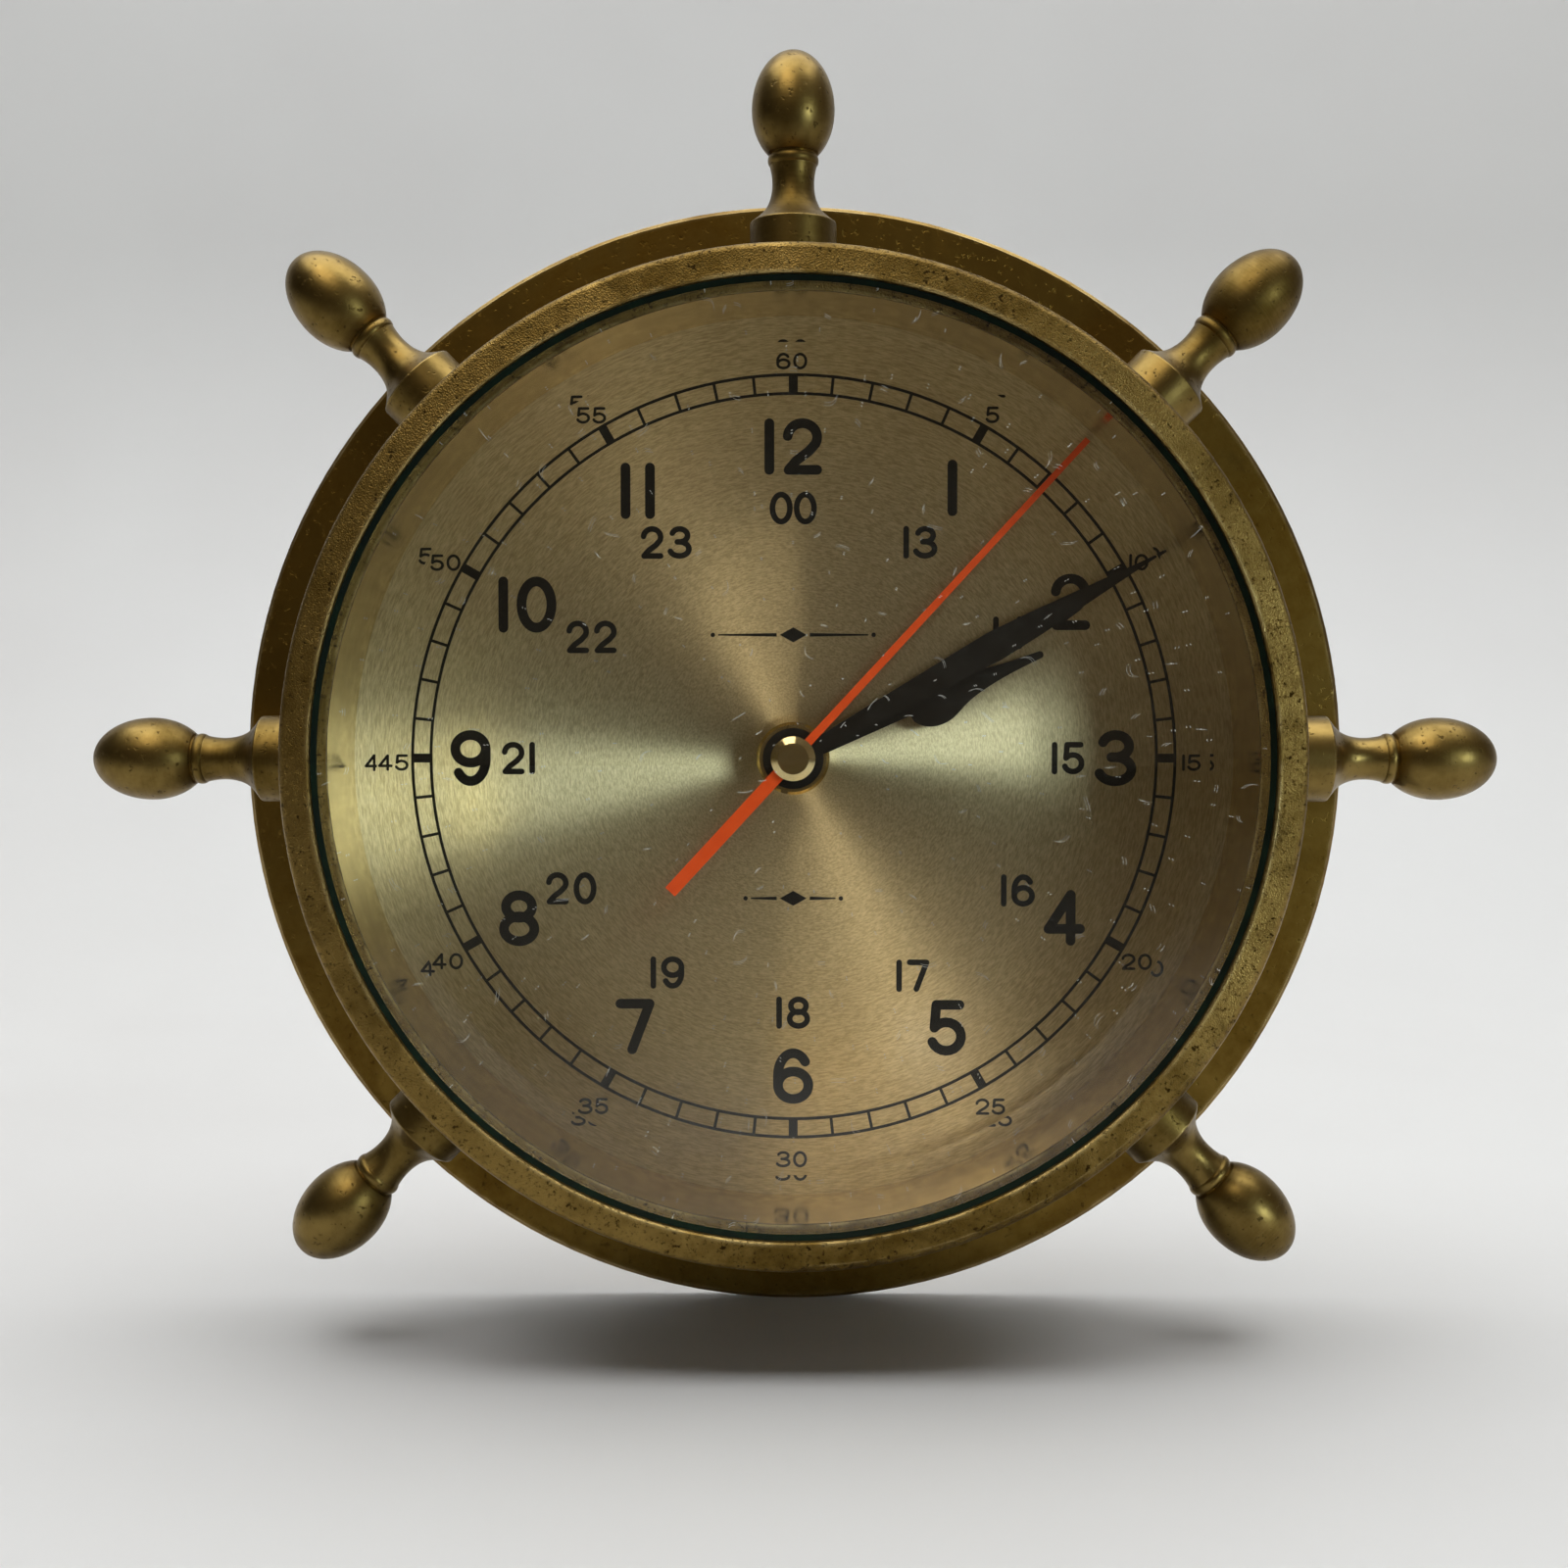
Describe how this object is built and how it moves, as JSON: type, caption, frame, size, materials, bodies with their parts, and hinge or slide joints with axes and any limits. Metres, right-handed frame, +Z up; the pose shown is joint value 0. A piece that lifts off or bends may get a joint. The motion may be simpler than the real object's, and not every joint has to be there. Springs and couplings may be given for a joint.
{
  "type": "ship's wheel wall clock",
  "caption": "Round brass wall clock styled as a ship's wheel: drum case on a wide back flange, turned handles around the rim, bevelled glass, brushed gold dial and a quartz movement.",
  "frame": {"origin": "on the axis of the dial, in the plane of the flange's back face, which is the wall plane", "axes": "+Y points into the wall and the dial faces -Y; +Z points up to 12 o'clock; +X points to 3 o'clock"},
  "size_m": [0.2744, 0.0584, 0.2516],
  "materials": {
    "aged_brass": "satin, aged, with dark patina",
    "cast_face_brass": "fine sand texture with patina",
    "turned_brass": "turned satin, worn and darkened in the recesses",
    "polished_brass": "polished",
    "dial_gold": "circular brushed, lacquered",
    "clear_glass": "polished, bevelled edge",
    "sealant": "dull",
    "black_hands": "satin black paint",
    "red_hand": "satin red paint",
    "steel": "bright",
    "spring_steel": "nickel plated",
    "black_plastic": "fine spark-eroded texture",
    "grey_plastic": "moulded",
    "white_plastic": "moulded acetal",
    "washer_rubber": "dull",
    "board_laminate": "phenolic laminate",
    "copper_wire": "enamelled wire",
    "ferrite": "ground",
    "soft_iron": "punched",
    "epoxy": "glossy",
    "cell_jacket": "printed film, plain"
  },
  "bodies": {
    "clock_case": {"back_flange": "aged_brass", "flange_screws": "polished_brass", "case_drum": "aged_brass", "rehaut_ring": "polished_brass", "bezel": "cast_face_brass", "glass": "clear_glass", "glass_sealant": "sealant", "dial_plate": "dial_gold", "handle_studs": "steel", "handle_top": "turned_brass", "handle_upper_right": "turned_brass", "handle_right": "turned_brass", "handle_lower_right": "turned_brass", "handle_lower_left": "turned_brass", "handle_left": "turned_brass", "handle_upper_left": "turned_brass", "movement_front_case": "black_plastic", "movement_back_cover": "black_plastic", "centre_bush": "polished_brass", "dial_washer": "washer_rubber", "fixing_nut": "polished_brass", "train_bridge": "grey_plastic", "bridge_screws": "steel", "circuit_board": "board_laminate", "board_screws": "steel", "driver_chip": "epoxy", "quartz_crystal": "steel", "stator": "soft_iron", "coil_core": "soft_iron", "coil_bobbin": "white_plastic", "coil_winding": "copper_wire", "stator_screws": "steel", "contact_negative": "spring_steel", "contact_positive": "spring_steel"},
    "battery": {"battery": "cell_jacket"},
    "second_hand": {"second_hand": "red_hand", "second_hand_cap": "polished_brass", "seconds_arbor": "steel", "seconds_wheel": "white_plastic"},
    "rotor": {"rotor_pinion": "white_plastic", "rotor_magnet": "ferrite"},
    "intermediate_wheel": {"intermediate_wheel": "white_plastic"},
    "third_wheel": {"third_wheel": "white_plastic"},
    "centre_wheel": {"centre_wheel": "white_plastic"},
    "minute_hand": {"minute_hand": "black_hands", "minute_nut": "polished_brass", "minute_tube": "polished_brass", "clutch_washer": "spring_steel"},
    "motion_wheel": {"motion_wheel": "white_plastic"},
    "hour_hand": {"hour_hand": "black_hands", "hour_wheel": "white_plastic"},
    "setting_knob": {"setting_knob": "grey_plastic", "setting_arbor": "white_plastic"}
  },
  "joints": [
    {"name": "second_hand_turn", "type": "hinge", "parent": "clock_case", "child": "second_hand", "pos_m": [0, -0.0276, 0], "axis": [0, 1, 0], "continuous": true},
    {"name": "minute_hand_turn", "type": "hinge", "parent": "clock_case", "child": "minute_hand", "pos_m": [0, -0.0256, 0], "axis": [0, 1, 0], "continuous": true},
    {"name": "hour_hand_turn", "type": "hinge", "parent": "clock_case", "child": "hour_hand", "pos_m": [0, -0.0235, 0], "axis": [0, 1, 0], "continuous": true},
    {"name": "rotor_turn", "type": "hinge", "parent": "clock_case", "child": "rotor", "pos_m": [0.01691, -0.008, 0.00519], "axis": [0, 1, 0], "continuous": true},
    {"name": "intermediate_wheel_turn", "type": "hinge", "parent": "clock_case", "child": "intermediate_wheel", "pos_m": [0.00804, -0.006, 0.00675], "axis": [0, 1, 0], "continuous": true},
    {"name": "third_wheel_turn", "type": "hinge", "parent": "clock_case", "child": "third_wheel", "pos_m": [-0.01015, -0.01, 0.00369], "axis": [0, 1, 0], "continuous": true},
    {"name": "centre_wheel_turn", "type": "hinge", "parent": "clock_case", "child": "centre_wheel", "pos_m": [0, -0.0128, 0], "axis": [0, 1, 0], "continuous": true},
    {"name": "motion_wheel_turn", "type": "hinge", "parent": "clock_case", "child": "motion_wheel", "pos_m": [-0.00156, -0.0144, 0.00882], "axis": [0, 1, 0], "continuous": true},
    {"name": "setting_knob_turn", "type": "hinge", "parent": "clock_case", "child": "setting_knob", "pos_m": [-0.00301, -0.0015, 0.0171], "axis": [0, 1, 0], "continuous": true},
    {"name": "battery_out", "type": "slide", "parent": "clock_case", "child": "battery", "axis": [0, 1, 0], "range_m": [0, 0.03]}
  ],
  "couplings": [
    {"joint": "intermediate_wheel_turn", "follows": "second_hand_turn", "ratio": -6},
    {"joint": "rotor_turn", "follows": "second_hand_turn", "ratio": 30},
    {"joint": "third_wheel_turn", "follows": "second_hand_turn", "ratio": -0.13333},
    {"joint": "centre_wheel_turn", "follows": "second_hand_turn", "ratio": 0.016667},
    {"joint": "motion_wheel_turn", "follows": "minute_hand_turn", "ratio": -0.33333},
    {"joint": "hour_hand_turn", "follows": "minute_hand_turn", "ratio": 0.083333},
    {"joint": "setting_knob_turn", "follows": "minute_hand_turn", "ratio": 1.3333}
  ]
}
